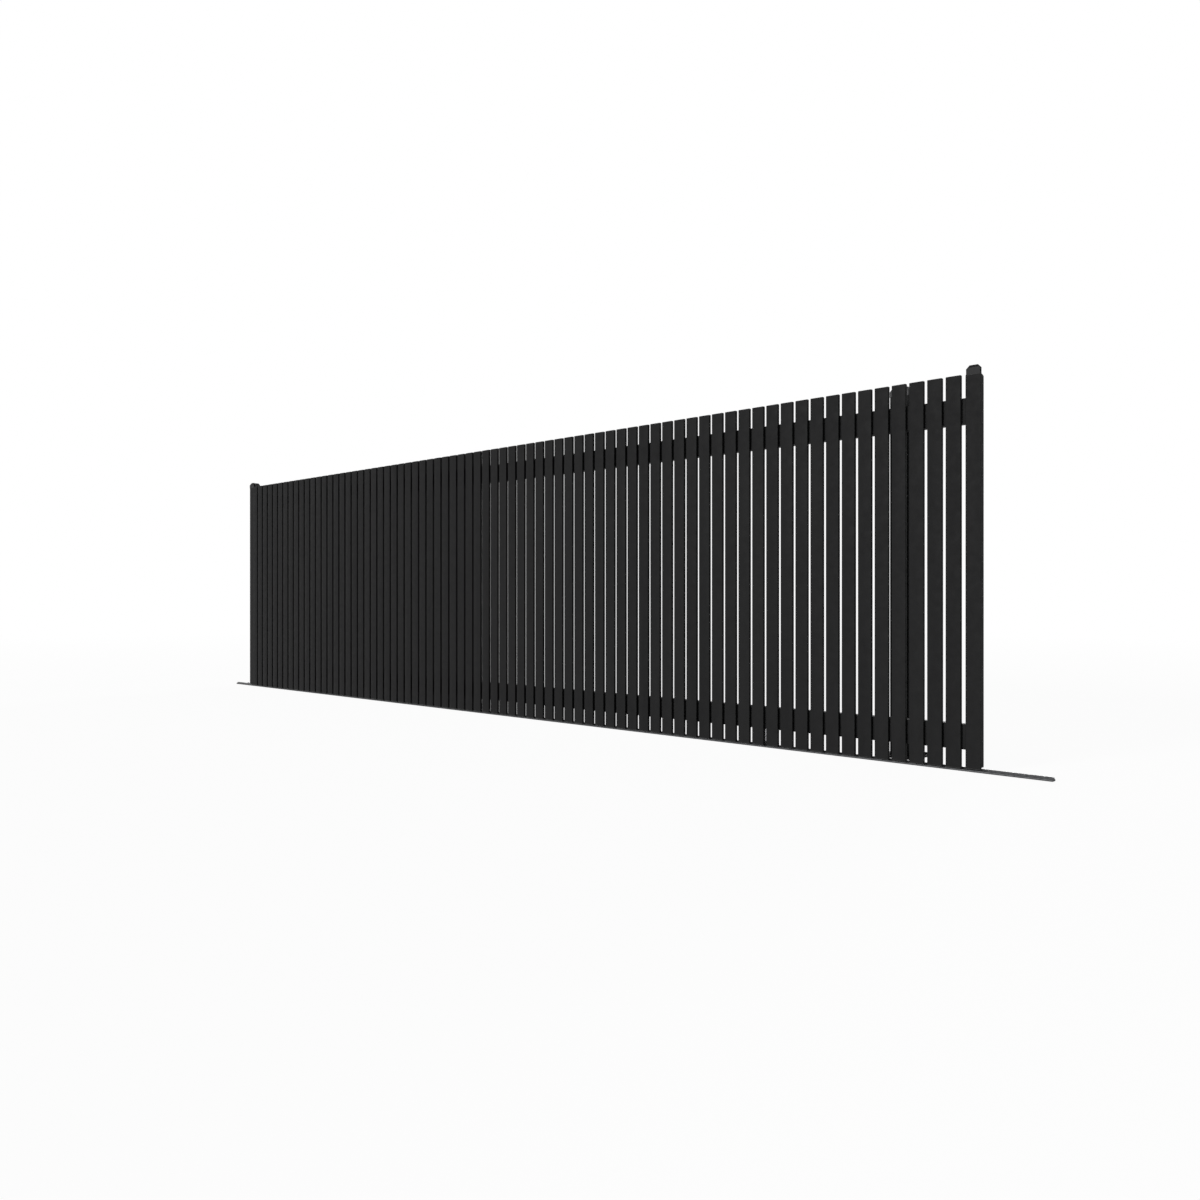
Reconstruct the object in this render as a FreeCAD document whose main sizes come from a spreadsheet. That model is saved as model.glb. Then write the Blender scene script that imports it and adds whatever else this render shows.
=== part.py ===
# Sliding driveway gate with a leaf of upright slats, in millimetres.
# X runs along the gate and grows toward its near end, Y runs backward from the front of the leaf,
# Z is up. The origin is under the middle of the guide post's base plate, at ground level.

import FreeCAD, Part
import Sketcher
import os
import re

doc = FreeCAD.newDocument("sliding_gate")


# Driving dimensions

SIZES = [
    # leaf: slats in front, frame of stiles and rails behind them
    ("leaf_top", 1804),
    ("leaf_bottom", 14),
    ("leaf_front_y", -249),
    ("leaf_near_x", 493),
    ("slat_count", 74),
    ("slat_width", 71),
    ("slat_gap", 19),
    ("slat_depth", 16),
    ("stile_width", 71),
    ("stile_gap", 16),
    ("frame_depth", 34),
    ("frame_wall", 2.5),
    ("rail_height", 115),
    ("rail_depth", 50),
    ("top_rail_drop", 105),
    ("bottom_rail_lift", 85),
    ("plug_thick", 4),
    ("stile_fall", 9),
    ("stile_lip", 4),
    # stop plates that stand on the stiles
    ("stop_height", 42),
    ("stop_thick", 10),
    ("stop_corner", 16),
    ("stop_bevel", 7),
    # ground track
    ("track_near_x", 808),
    ("track_far_x", -6586),
    ("track_width", 32),
    ("track_base", 8),
    ("track_ridge", 10),
    ("track_nose", 1.5),
    # wheels and their carriages
    ("wheel_inset", 1181),
    ("wheel_tread", 33),
    ("wheel_flange", 4),
    ("wheel_thick", 20),
    ("groove_play", 0.5),
    ("wheel_lift", 0.3),
    ("axle_radius", 8),
    ("axle_play", 0.05),
    ("carriage_length", 130),
    ("carriage_foot", 40),
    ("carriage_shoulder", 20),
    ("carriage_below_axle", 18),
    ("carriage_wall", 3.5),
    ("carriage_top", 5),
    # guide channel on the back of the top rail
    ("channel_width", 45),
    ("channel_height", 40),
    ("channel_wall", 4),
    ("channel_up", 60),
    ("channel_clear", 4),
    # guide post and its bracket, which holds two rollers in the channel
    ("guide_post_width", 100),
    ("guide_post_wall", 4),
    ("guide_post_over", 10),
    ("bracket_thick", 8),
    ("bracket_width", 180),
    ("bracket_flange", 110),
    ("flange_width", 90),
    ("bracket_under", 8),
    ("bracket_nose", 14),
    ("gusset_spacing", 40),
    ("gusset_depth", 55),
    ("roller_spacing", 120),
    ("roller_radius", 13),
    ("roller_height", 22),
    ("roller_lift", 5),
    ("pin_radius", 6),
    ("pin_head_radius", 9),
    ("pin_head", 3),
    ("pin_nut", 10),
    ("nut_flats", 18),
    # catch post beyond the far end of the closed leaf
    ("catch_post_width", 66),
    ("catch_post_wall", 3),
    ("catch_post_over", 32),
    ("catch_gap_x", 56),
    ("catch_gap_y", 26),
    # base plates and caps of both posts
    ("plate_thick", 10),
    ("guide_plate_width", 200),
    ("guide_bolt_spacing", 150),
    ("guide_bolt_radius", 7),
    ("catch_plate_width", 110),
    ("catch_bolt_spacing", 85),
    ("catch_bolt_radius", 5),
    ("cap_over", 3),
    ("cap_play", 0.3),
    ("cap_skirt", 27),
    ("cap_top", 4),
    ("cap_rise", 18),
    ("cap_bevel", 11),
]

DERIVED = [
    ("slat_pitch", "=slat_width + slat_gap"),
    ("slat_run", "=slat_count * slat_pitch - slat_gap"),
    ("frame_front_y", "=leaf_front_y + slat_depth"),
    ("frame_mid_y", "=frame_front_y + frame_depth / 2"),
    ("frame_back_y", "=frame_front_y + frame_depth"),
    ("rail_back_y", "=frame_front_y + rail_depth"),
    ("leaf_height", "=leaf_top - leaf_bottom"),
    ("top_rail_z", "=leaf_top - top_rail_drop - rail_height"),
    ("bottom_rail_z", "=leaf_bottom + bottom_rail_lift"),
    ("guide_post_top", "=leaf_top + guide_post_over"),
    ("catch_post_top", "=leaf_top + catch_post_over"),
    ("leaf_length", "=slat_run + 2 * stile_gap + 2 * stile_width"),
    ("leaf_far_x", "=leaf_near_x - leaf_length"),
    ("rail_length", "=leaf_length - 2 * stile_width"),
    ("track_top", "=track_base + track_ridge"),
    ("wheel_radius", "=wheel_tread + wheel_flange"),
    ("wheel_z", "=track_top + wheel_lift + wheel_tread"),
    ("near_wheel_x", "=leaf_near_x - wheel_inset"),
    ("far_wheel_x", "=leaf_far_x + wheel_inset"),
    ("groove_floor", "=track_nose + groove_play"),
    ("groove_mouth", "=groove_floor + wheel_flange"),
    ("carriage_z", "=wheel_z - carriage_below_axle"),
    ("carriage_height", "=bottom_rail_z - carriage_z"),
    ("channel_z", "=top_rail_z + channel_up"),
    ("channel_mid_y", "=rail_back_y + channel_width / 2"),
    ("channel_end", "=stile_width + channel_clear"),
    ("bracket_top", "=channel_z - bracket_under"),
    ("post_front_y", "=-guide_post_width / 2"),
    ("bracket_nose_y", "=channel_mid_y - bracket_nose"),
    ("bracket_reach", "=post_front_y - bracket_nose_y"),
    ("roller_z", "=channel_z + roller_lift"),
    ("nut_side", "=nut_flats / sqrt(3)"),
    ("catch_x", "=leaf_far_x - catch_gap_x - catch_post_width / 2"),
    ("catch_y", "=frame_back_y + catch_gap_y + catch_post_width / 2"),
]

ALIASES = [alias for alias, _ in SIZES + DERIVED]

sheet = doc.addObject("Spreadsheet::Sheet", "Sizes")
for row, (alias, value) in enumerate(SIZES + DERIVED, start=1):
    sheet.set(f"A{row}", alias)
    sheet.set(f"B{row}", str(value))
    sheet.setAlias(f"B{row}", alias)
doc.recompute()


# Tools: each size and place is a formula in the sheet's aliases, bound with an expression

def spelled(formula):
    """Write a formula with the sheet's name before each of its aliases."""
    def full_name(match):
        word = match.group(0)
        return "Sizes." + word if word in ALIASES else word
    return re.sub(r"[a-z][a-z_]*", full_name, formula)


def bind(thing, prop, formula):
    """Bind a property to a formula that names the sheet's aliases."""
    thing.setExpression(prop, spelled(formula))


def new_body(label):
    """Start a body whose label is also the name of its file."""
    body = doc.addObject("PartDesign::Body", label)
    body.Label = label
    return body


def new_sketch(body, plane, x, y, z):
    """Attach a sketch to an origin plane and move its own origin to x, y, z."""
    role = plane + "_Plane"
    support = next(item for item in body.Origin.OriginFeatures if item.Role == role)
    sketch = body.newObject("Sketcher::SketchObject", body.Label + "_sketch")
    sketch.AttachmentSupport = [(support, "")]
    sketch.MapMode = "FlatFace"
    places = {"XY": (x, y, z), "XZ": (x, z, f"-({y})"), "YZ": (y, z, x)}[plane]
    for axis, formula in zip("xyz", places):
        bind(sketch, f"AttachmentOffset.Base.{axis}", formula)
    return sketch


def point_at(sketch, across, up):
    """Work out where the solver starts with a point."""
    values = [sketch.evalExpression(spelled(formula)) for formula in (across, up)]
    return FreeCAD.Vector(float(values[0]), float(values[1]), 0)


def hold(sketch, item, point, across, up):
    """Hold a point of a line or circle by two formulas that are zero or more."""
    for kind, formula, axis in (("DistanceX", across, -2), ("DistanceY", up, -1)):
        if formula == "0":
            sketch.addConstraint(Sketcher.Constraint("PointOnObject", item, point, axis))
        else:
            index = sketch.addConstraint(Sketcher.Constraint(kind, -1, 1, item, point, 10.0))
            bind(sketch, f"Constraints[{index}]", formula)


def outline(sketch, points):
    """Draw a closed outline through points whose formulas are zero or more."""
    places = [point_at(sketch, *point) for point in points]
    count = len(points)
    first = sketch.GeometryCount
    ends = zip(places, places[1:] + places[:1])
    sketch.addGeometry([Part.LineSegment(start, end) for start, end in ends], False)
    for index, point in enumerate(points):
        following = first + (index + 1) % count
        sketch.addConstraint(Sketcher.Constraint("Coincident", first + index, 2, following, 1))
        hold(sketch, first + index, 1, *point)


def rectangle(sketch, width, height, left="0", low="0"):
    """Draw a rectangle from its lower left corner."""
    right = f"{left} + {width}" if left != "0" else width
    high = f"{low} + {height}" if low != "0" else height
    outline(sketch, [(left, low), (right, low), (right, high), (left, high)])


def circle(sketch, radius, across="0", up="0"):
    """Draw a circle around a point of the sketch."""
    middle = point_at(sketch, across, up)
    size = point_at(sketch, radius, "0").x
    ring = sketch.addGeometry(Part.Circle(middle, FreeCAD.Vector(0, 0, 1), size), False)
    index = sketch.addConstraint(Sketcher.Constraint("Radius", ring, size))
    bind(sketch, f"Constraints[{index}]", radius)
    hold(sketch, ring, 3, across, up)


def is_facing_forward(sketch):
    """Tell whether the sketch lies in the plane whose normal points to -Y."""
    return sketch.AttachmentSupport[0][0].Role == "XZ_Plane"


def pad(body, sketch, length):
    """Pad a sketch toward +X, +Y or +Z."""
    feature = body.newObject("PartDesign::Pad", body.Label + "_pad")
    feature.Profile = sketch
    feature.Reversed = is_facing_forward(sketch)
    bind(feature, "Length", length)
    sketch.Visibility = False
    return feature


def pocket(body, sketch, length):
    """Cut a sketch's outline into the body toward +X, +Y or +Z."""
    feature = body.newObject("PartDesign::Pocket", body.Label + "_pocket")
    feature.Profile = sketch
    feature.Reversed = not is_facing_forward(sketch)
    bind(feature, "Length", length)
    sketch.Visibility = False
    return feature


def turn(body, sketch):
    """Revolve a sketch all the way around its own horizontal axis."""
    feature = body.newObject("PartDesign::Revolution", body.Label + "_turn")
    feature.Profile = sketch
    feature.ReferenceAxis = (sketch, ["H_Axis"])
    feature.Angle = 360
    sketch.Visibility = False
    return feature


def chamfer_front(body, feature, size):
    """Bevel the edges around a feature's front face, apart from the one along its foot."""
    doc.recompute()
    box = feature.Shape.BoundBox
    names = []
    for index, edge in enumerate(feature.Shape.Edges, start=1):
        middle = edge.CenterOfMass
        if middle.y < box.Center.y - box.YLength / 4 and middle.z > box.ZMin + box.ZLength / 10:
            names.append(f"Edge{index}")
    bevel = body.newObject("PartDesign::Chamfer", body.Label + "_chamfer")
    bevel.Base = (feature, names)
    bind(bevel, "Size", size)
    feature.Visibility = False
    return bevel


def repeat(body, feature, axis, length, count):
    """Repeat a feature along a base axis of the body."""
    line = next(item for item in body.Origin.OriginFeatures if item.Role == axis + "_Axis")
    pattern = body.newObject("PartDesign::LinearPattern", body.Label + "_pattern")
    pattern.Originals = [feature]
    pattern.Direction = (line, [""])
    bind(pattern, "Length", length)
    bind(pattern, "Occurrences", count)
    body.Tip = pattern
    return pattern


# Leaf: slats, rails and stiles

def make_panel():
    """Two rails that are rectangular tubes, with flat closed slats welded across their fronts."""
    body = new_body("leaf_panel")
    for low in ("bottom_rail_z", "top_rail_z"):
        rail = new_sketch(body, "YZ", "leaf_far_x + stile_width", "frame_front_y", low)
        rectangle(rail, "rail_depth", "rail_height")
        inside = ("rail_depth - 2 * frame_wall", "rail_height - 2 * frame_wall")
        rectangle(rail, *inside, left="frame_wall", low="frame_wall")
        pad(body, rail, "rail_length")
    first = "leaf_far_x + stile_width + stile_gap"
    sketch = new_sketch(body, "XY", first, "leaf_front_y", "leaf_bottom")
    rectangle(sketch, "slat_width", "slat_depth")
    slat = pad(body, sketch, "leaf_height")
    repeat(body, slat, "X", "slat_run - slat_width", "slat_count")


def make_stile(label, left):
    """An upright rectangular tube that closes one end of the leaf, with a plug at both ends.

    Behind the stop plate its top slopes down to the back, so that rain runs off. Behind a lip
    its foot is cut away over the ridge of the track.
    """
    body = new_body(label)
    sketch = new_sketch(body, "XY", left, "frame_front_y", "leaf_bottom")
    rectangle(sketch, "stile_width", "frame_depth")
    inside = ("stile_width - 2 * frame_wall", "frame_depth - 2 * frame_wall")
    rectangle(sketch, *inside, left="frame_wall", low="frame_wall")
    pad(body, sketch, "leaf_height")
    for low in ("leaf_bottom", "leaf_top - plug_thick - stile_fall"):
        plug = new_sketch(body, "XY", left, "frame_front_y", low)
        rectangle(plug, "stile_width", "frame_depth")
        pad(body, plug, "plug_thick + stile_fall")
    slope = new_sketch(body, "YZ", left, "frame_front_y", "leaf_top - stile_fall")
    outline(slope, [("stop_thick", "stile_fall"), ("frame_depth", "0"), ("frame_depth", "stile_fall")])
    pocket(body, slope, "stile_width")
    foot = new_sketch(body, "YZ", left, "frame_front_y", "leaf_bottom")
    outline(foot, [
        ("stile_lip", "0"),
        ("frame_depth", "0"),
        ("frame_depth", "stile_fall"),
        ("stile_lip + stile_fall", "stile_fall"),
    ])
    pocket(body, foot, "stile_width")


def make_stop_plate(label, left):
    """An upright plate with cut corners and a bevelled front, on top of a stile's front wall."""
    body = new_body(label)
    sketch = new_sketch(body, "XZ", left, "frame_front_y", "leaf_top")
    outline(sketch, [
        ("0", "0"),
        ("stile_width", "0"),
        ("stile_width", "stop_height - stop_corner"),
        ("stile_width - stop_corner", "stop_height"),
        ("stop_corner", "stop_height"),
        ("0", "stop_height - stop_corner"),
    ])
    plate = pad(body, sketch, "stop_thick")
    chamfer_front(body, plate, "stop_bevel")


def make_guide_channel():
    """A channel that opens downward along the back of the top rail."""
    body = new_body("guide_channel")
    start = "leaf_far_x + channel_end"
    sketch = new_sketch(body, "YZ", start, "rail_back_y", "channel_z")
    outline(sketch, [
        ("0", "0"),
        ("channel_wall", "0"),
        ("channel_wall", "channel_height - channel_wall"),
        ("channel_width - channel_wall", "channel_height - channel_wall"),
        ("channel_width - channel_wall", "0"),
        ("channel_width", "0"),
        ("channel_width", "channel_height"),
        ("0", "channel_height"),
    ])
    pad(body, sketch, "leaf_length - 2 * channel_end")


# Wheels, carriages and axles

def make_carriage(label, middle):
    """A housing of two tapered cheeks under a top plate, cut out for the wheel."""
    body = new_body(label)
    left = f"{middle} - carriage_length / 2"
    cheeks = new_sketch(body, "XZ", left, "frame_front_y", "carriage_z")
    outline(cheeks, [
        ("(carriage_length - carriage_foot) / 2", "0"),
        ("(carriage_length + carriage_foot) / 2", "0"),
        ("carriage_length", "carriage_height - carriage_shoulder"),
        ("carriage_length", "carriage_height"),
        ("0", "carriage_height"),
        ("0", "carriage_height - carriage_shoulder"),
    ])
    pad(body, cheeks, "frame_depth")
    slot = new_sketch(body, "XY", left, "frame_front_y + carriage_wall", "carriage_z")
    rectangle(slot, "carriage_length", "frame_depth - 2 * carriage_wall")
    pocket(body, slot, "carriage_height - carriage_top")
    hole = new_sketch(body, "XZ", middle, "frame_front_y", "wheel_z")
    circle(hole, "axle_radius")
    pocket(body, hole, "frame_depth")


def make_axle(label, middle):
    """A round pin through the wheel and both cheeks, flush with the cheeks outside."""
    body = new_body(label)
    sketch = new_sketch(body, "YZ", middle, "frame_front_y", "wheel_z")
    rectangle(sketch, "frame_depth", "axle_radius")
    turn(body, sketch)


def make_wheel(label, middle):
    """A steel wheel turned with a V groove in its rim and a bore for its axle."""
    body = new_body(label)
    side = "frame_mid_y - wheel_thick / 2"
    blank = new_sketch(body, "YZ", middle, side, "wheel_z")
    bore = "axle_radius + axle_play"
    outline(blank, [
        ("0", bore),
        ("wheel_thick", bore),
        ("wheel_thick", "wheel_radius"),
        ("wheel_thick / 2 + groove_mouth", "wheel_radius"),
        ("wheel_thick / 2 + groove_floor", "wheel_tread"),
        ("wheel_thick / 2 - groove_floor", "wheel_tread"),
        ("wheel_thick / 2 - groove_mouth", "wheel_radius"),
        ("0", "wheel_radius"),
    ])
    turn(body, blank)


# Track on the ground

def make_track():
    """A flat bar with a ridge along its middle that the wheels' grooves straddle."""
    body = new_body("track")
    base = new_sketch(body, "YZ", "track_far_x", "frame_mid_y - track_width / 2", "0")
    foot = "track_width / 2 - track_nose - track_ridge"
    outline(base, [
        ("0", "0"),
        ("track_width", "0"),
        ("track_width", "track_base"),
        (f"track_width - ({foot})", "track_base"),
        ("track_width / 2 + track_nose", "track_top"),
        ("track_width / 2 - track_nose", "track_top"),
        (foot, "track_base"),
        ("0", "track_base"),
    ])
    pad(body, base, "track_near_x - track_far_x")


# Posts with base plates and caps

def make_post(post, x, y):
    """A square tube that stands on its base plate."""
    body = new_body(f"{post}_post")
    width = f"{post}_post_width"
    wall = f"{post}_post_wall"
    sketch = new_sketch(body, "XY", f"{x} - {width} / 2", f"{y} - {width} / 2", "plate_thick")
    rectangle(sketch, width, width)
    inside = f"{width} - 2 * {wall}"
    rectangle(sketch, inside, inside, left=wall, low=wall)
    pad(body, sketch, f"{post}_post_top - plate_thick")


def make_base_plate(post, x, y):
    """A square plate with four holes for ground anchors."""
    body = new_body(f"{post}_post_plate")
    width = f"{post}_plate_width"
    spacing = f"{post}_bolt_spacing"
    sketch = new_sketch(body, "XY", f"{x} - {width} / 2", f"{y} - {width} / 2", "0")
    rectangle(sketch, width, width)
    edges = (f"({width} - {spacing}) / 2", f"({width} + {spacing}) / 2")
    for across in edges:
        for up in edges:
            circle(sketch, f"{post}_bolt_radius", across, up)
    pad(body, sketch, "plate_thick")


def make_cap(post, x, y):
    """A cap that fits over the post, with a skirt below and bevels around a flat top."""
    body = new_body(f"{post}_post_cap")
    width = f"{post}_post_width"
    outer = f"({width} + 2 * cap_over)"
    inner = f"({width} + 2 * cap_play)"
    post_top = f"{post}_post_top"
    skirt_z = f"{post_top} - cap_skirt + cap_top"
    block = new_sketch(body, "XY", f"{x} - {outer} / 2", f"{y} - {outer} / 2", skirt_z)
    rectangle(block, outer, outer)
    pad(body, block, "cap_skirt + cap_rise")
    for plane in ("XZ", "YZ"):
        low = (f"{x} - {outer} / 2", f"{y} - {outer} / 2", f"{post_top} + cap_top")
        bevel = new_sketch(body, plane, *low)
        outline(bevel, [("0", "0"), ("cap_bevel", "cap_rise"), ("0", "cap_rise")])
        outline(bevel, [(outer, "0"), (outer, "cap_rise"), (f"{outer} - cap_bevel", "cap_rise")])
        pocket(body, bevel, outer)
    hollow = new_sketch(body, "XY", f"{x} - {inner} / 2", f"{y} - {inner} / 2", skirt_z)
    rectangle(hollow, inner, inner)
    pocket(body, hollow, "cap_skirt - cap_top")


# Guide bracket with its rollers

def make_guide_bracket():
    """A tapered shelf on a flange, with two gussets below, bolted to the guide post."""
    body = new_body("guide_bracket")
    shelf = new_sketch(body, "XY", "-bracket_width / 2", "bracket_nose_y", "bracket_top - bracket_thick")
    post_edges = ("(bracket_width - flange_width) / 2", "(bracket_width + flange_width) / 2")
    outline(shelf, [
        ("0", "0"),
        ("bracket_width", "0"),
        ("bracket_width", "2 * bracket_nose"),
        (post_edges[1], "bracket_reach"),
        (post_edges[0], "bracket_reach"),
        ("0", "2 * bracket_nose"),
    ])
    pad(body, shelf, "bracket_thick")
    flange_z = "bracket_top - bracket_flange"
    flange = new_sketch(body, "XZ", "-flange_width / 2", "post_front_y - bracket_thick", flange_z)
    rectangle(flange, "flange_width", "bracket_flange")
    pad(body, flange, "bracket_thick")
    for side in ("-1", "1"):
        left = f"{side} * gusset_spacing / 2 - bracket_thick / 2"
        gusset = new_sketch(body, "YZ", left, "post_front_y - gusset_depth", flange_z)
        outline(gusset, [
            ("gusset_depth", "0"),
            ("gusset_depth", "bracket_flange"),
            ("0", "bracket_flange"),
        ])
        pad(body, gusset, "bracket_thick")
    holes = new_sketch(body, "XY", "-bracket_width / 2", "channel_mid_y", "bracket_top - bracket_thick")
    for side in ("-", "+"):
        circle(holes, "pin_radius", f"(bracket_width {side} roller_spacing) / 2")
    pocket(body, holes, "bracket_thick")


def make_guide_pin(label, x):
    """A bolt with a nut under the shelf and a head over its roller."""
    body = new_body(label)
    low = "bracket_top - bracket_thick - pin_nut"
    nut = new_sketch(body, "XY", f"{x} - nut_side", "channel_mid_y - nut_flats / 2", low)
    outline(nut, [
        ("nut_side / 2", "0"),
        ("nut_side * 3 / 2", "0"),
        ("nut_side * 2", "nut_flats / 2"),
        ("nut_side * 3 / 2", "nut_flats"),
        ("nut_side / 2", "nut_flats"),
        ("0", "nut_flats / 2"),
    ])
    pad(body, nut, "pin_nut")
    shank = new_sketch(body, "XY", x, "channel_mid_y", low)
    circle(shank, "pin_radius")
    pad(body, shank, "roller_z + roller_height - bracket_top + bracket_thick + pin_nut")
    sleeve = new_sketch(body, "XY", x, "channel_mid_y", "bracket_top")
    circle(sleeve, "pin_head_radius")
    pad(body, sleeve, "roller_z - bracket_top")
    head = new_sketch(body, "XY", x, "channel_mid_y", "roller_z + roller_height")
    circle(head, "pin_head_radius")
    pad(body, head, "pin_head")


def make_roller(label, x):
    """A nylon roller that turns on its pin inside the guide channel."""
    body = new_body(label)
    sketch = new_sketch(body, "XY", x, "channel_mid_y", "roller_z")
    circle(sketch, "roller_radius")
    circle(sketch, "pin_radius + axle_play")
    pad(body, sketch, "roller_height")


make_panel()
for end, left in (("near", "leaf_near_x - stile_width"), ("far", "leaf_far_x")):
    make_stile(f"stile_{end}", left)
    make_stop_plate(f"stop_plate_{end}", left)
make_guide_channel()
for end in ("near", "far"):
    make_carriage(f"carriage_{end}", f"{end}_wheel_x")
    make_axle(f"axle_{end}", f"{end}_wheel_x")
    make_wheel(f"wheel_{end}", f"{end}_wheel_x")
make_track()
for post, x, y in (("guide", "0", "0"), ("catch", "catch_x", "catch_y")):
    make_post(post, x, y)
    make_base_plate(post, x, y)
    make_cap(post, x, y)
make_guide_bracket()
for end, side in (("near", ""), ("far", "-")):
    make_guide_pin(f"guide_pin_{end}", f"{side}roller_spacing / 2")
    make_roller(f"guide_roller_{end}", f"{side}roller_spacing / 2")
doc.recompute()


# Check every object, then write one file for each body

for item in doc.Objects:
    if "Invalid" in item.State or "Error" in item.State:
        raise RuntimeError(f"{item.Label} is {item.State}")

os.makedirs("parts", exist_ok=True)
for body in doc.findObjects("PartDesign::Body"):
    if body.Shape.isNull() or not body.Shape.isValid():
        raise RuntimeError(f"{body.Label} has no valid shape")
    body.Shape.exportStep(f"parts/{body.Label}.step")
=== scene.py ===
# Sliding driveway gate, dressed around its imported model: metres, X along the gate, Y backward, Z up.

import math

import bmesh
import bpy
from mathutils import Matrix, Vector


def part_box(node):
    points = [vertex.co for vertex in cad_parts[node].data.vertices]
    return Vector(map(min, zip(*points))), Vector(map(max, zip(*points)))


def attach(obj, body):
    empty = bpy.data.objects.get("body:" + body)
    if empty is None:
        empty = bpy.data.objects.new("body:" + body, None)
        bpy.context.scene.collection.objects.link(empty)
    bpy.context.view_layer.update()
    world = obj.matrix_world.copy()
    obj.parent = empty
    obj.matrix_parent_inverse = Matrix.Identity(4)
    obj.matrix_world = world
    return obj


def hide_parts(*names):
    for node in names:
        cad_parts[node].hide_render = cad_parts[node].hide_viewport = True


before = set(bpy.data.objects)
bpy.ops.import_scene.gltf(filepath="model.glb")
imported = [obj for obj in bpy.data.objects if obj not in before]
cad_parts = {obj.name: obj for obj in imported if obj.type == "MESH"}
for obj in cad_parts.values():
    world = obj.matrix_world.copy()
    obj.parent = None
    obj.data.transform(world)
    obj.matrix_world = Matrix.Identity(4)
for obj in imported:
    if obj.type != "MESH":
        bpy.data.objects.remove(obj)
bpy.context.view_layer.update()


# Camera
# It stands on the street side, right of the gate's near end, level and 0.78 m above the ground.
# It looks along the leaf, which runs away from it to the left.

EYE = (2.4539, -4.7352, 0.7802)
TURN_LEFT = 43.954
FOCAL_LENGTH = 30.675

lens = bpy.data.cameras.new("camera")
lens.sensor_fit = "HORIZONTAL"
lens.sensor_width = 36.0
lens.lens = FOCAL_LENGTH
lens.clip_end = 200.0
camera = bpy.data.objects.new("camera", lens)
camera.location = EYE
camera.rotation_euler = (math.radians(90), 0.0, math.radians(TURN_LEFT))
bpy.context.scene.collection.objects.link(camera)
bpy.context.scene.camera = camera


# Ground track
# A rolled steel flat bar with a ridge along its middle, hot-dip galvanised to a dull grey.
# It lies along the whole travel, and the nose of its ridge is coloured lighter.

TRACK_EDGE = 0.0008
TRACK_NOSE = 0.0015
TRACK_RIDGE_FOOT = 0.0115
TRACK_BASE = 0.008
GALVANISED_DARK = (0.062, 0.063, 0.066, 1.0)
GALVANISED_LIGHT = (0.105, 0.107, 0.110, 1.0)
DARKER_LOW_ZINC = (0.025, 0.025, 0.026, 1.0)
LIGHTER_NOSE_ZINC = (0.21, 0.21, 0.215, 1.0)
LOW_DARKENING_SHARE = 0.6
LOW_DARKENING_FADE = (0.006, 0.012)
NOSE_LIGHTENING_SHARE = 0.75
NOSE_LIGHTENING_FADE = (0.0165, 0.0178)
TRACK_METALLIC = 0.85
TRACK_ROUGHNESS = (0.42, 0.62)
TRACK_GRAIN = 0.00025
SPANGLES_PER_METRE = 95.0
BEVEL_FROM = 40.0


def rounded(points, radius, steps=3):
    """The outline of a flat shape with an arc of that radius in place of each corner."""
    smooth = []
    count = len(points)
    for index in range(count):
        corner = Vector(points[index])
        before = (Vector(points[index - 1]) - corner).normalized()
        after = (Vector(points[(index + 1) % count]) - corner).normalized()
        half = before.angle(after) / 2
        reach = radius / math.tan(half)
        middle = corner + (before + after).normalized() * radius / math.sin(half)
        start = corner + before * reach - middle
        end = corner + after * reach - middle
        for step in range(steps + 1):
            arm = start.lerp(end, step / steps).normalized() * radius
            smooth.append(tuple(middle + arm))
    return smooth


def skin(mesh, rings):
    """Join rings of points into a closed solid, with a flat face over the first and the last."""
    count = len(rings[0])
    for ring, following in zip(rings, rings[1:]):
        for index in range(count):
            other = (index + 1) % count
            mesh.faces.new((ring[index], ring[other], following[other], following[index]))
    mesh.faces.new(reversed(rings[0]))
    mesh.faces.new(rings[-1])


def loft(mesh, outlines, axis="z"):
    """Add a solid through flat outlines of equal length, each given with its place along the axis."""
    place = {
        "x": lambda u, v, at: (at, u, v),
        "y": lambda u, v, at: (u, at, v),
        "z": lambda u, v, at: (u, v, at),
    }[axis]
    skin(mesh, [[mesh.verts.new(place(u, v, at)) for u, v in outline] for outline, at in outlines])


def prism(mesh, points, axis, low, high):
    """Add a solid with the same flat outline from low to high along the axis."""
    loft(mesh, [(points, low), (points, high)], axis)


def finish_piece(name, mesh, body, material, crease=30.0, edge=0.0, place=(0.0, 0.0, 0.0)):
    """Make a piece of a mesh: smooth between its creases, painted, and riding on its body."""
    bmesh.ops.recalc_face_normals(mesh, faces=mesh.faces[:])
    data = bpy.data.meshes.new(name)
    mesh.to_mesh(data)
    mesh.free()
    data.shade_smooth()
    data.set_sharp_from_angle(angle=math.radians(crease))
    data.materials.append(material)
    piece = bpy.data.objects.new(name, data)
    piece.location = place
    bpy.context.scene.collection.objects.link(piece)
    bpy.context.view_layer.update()
    if edge:
        bevel = piece.modifiers.new("edge", "BEVEL")
        bevel.width = edge
        bevel.segments = 2
        bevel.limit_method = "ANGLE"
        bevel.angle_limit = math.radians(BEVEL_FROM)
        bevel.harden_normals = True
    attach(piece, body)
    return piece


def new_finish(name):
    """A new material with its node tree, its shader and the place of each point on the piece."""
    material = bpy.data.materials.new(name)
    material.use_nodes = True
    tree = material.node_tree
    place = tree.nodes.new("ShaderNodeTexCoord").outputs["Object"]
    return material, tree, tree.nodes["Principled BSDF"], place


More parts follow.
